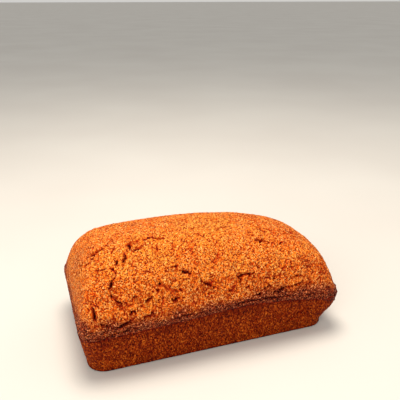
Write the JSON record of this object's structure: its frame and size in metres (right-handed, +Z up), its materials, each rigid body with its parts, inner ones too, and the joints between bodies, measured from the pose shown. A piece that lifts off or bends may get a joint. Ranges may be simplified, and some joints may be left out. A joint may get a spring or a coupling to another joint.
{
  "type": "banana bread loaf",
  "caption": "Domed banana bread loaf turned out of its pan, with a cracked grainy top, a dark rim and browned sloping walls over a soft crumb.",
  "frame": {"origin": "the middle of the flat underside, on the surface the loaf stands on", "axes": "+X along the loaf, from its high steep end to its low end; +Z up; the front wall faces -Y"},
  "size_m": [0.218, 0.1246, 0.0969],
  "materials": {
    "crumb": "soft, moist, open-pored pale golden crumb",
    "pan_crust": "fine-grained red-brown crust, dull, with paler mottled patches",
    "rim_crust": "dark caramelised purplish-brown crust, bumpy, with a slight shine",
    "top_crust": "grainy, pitted and cracked orange-brown crust, mostly dull"
  },
  "bodies": {
    "root": {"crumb": "crumb", "bottom_crust": "pan_crust", "front_crust": "pan_crust", "back_crust": "pan_crust", "left_end_crust": "pan_crust", "right_end_crust": "pan_crust", "rim_crust": "rim_crust", "top_crust": "top_crust"}
  },
  "joints": []
}
